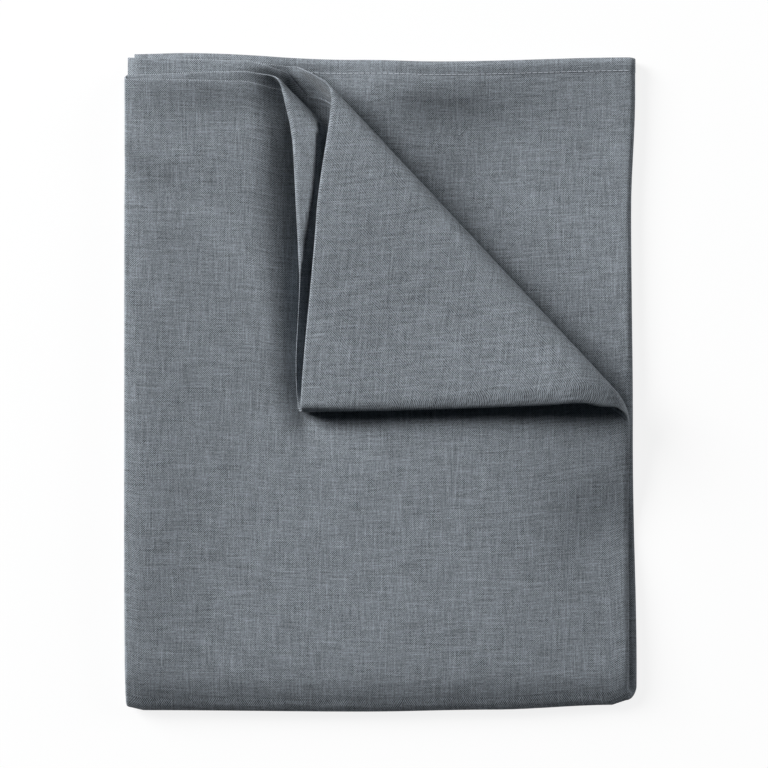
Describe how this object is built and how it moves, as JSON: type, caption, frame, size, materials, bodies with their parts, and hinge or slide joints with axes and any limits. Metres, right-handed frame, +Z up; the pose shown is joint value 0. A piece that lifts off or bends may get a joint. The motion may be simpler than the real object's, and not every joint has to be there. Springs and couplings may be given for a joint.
{
  "type": "tablecloth",
  "caption": "Plain-weave linen tablecloth folded into a flat packet, with one corner of its front half turned down.",
  "frame": {"origin": "on the surface it lies on, under the middle of the folded packet", "axes": "+X across the packet to the right, +Y up its length towards the hemmed end, +Z up from the surface"},
  "size_m": [0.3552, 0.4578, 0.0391],
  "materials": {
    "linen": "slate blue-grey plain-weave linen with fine slubs, matt"
  },
  "bodies": {
    "root": {"tablecloth": "linen"}
  },
  "joints": []
}
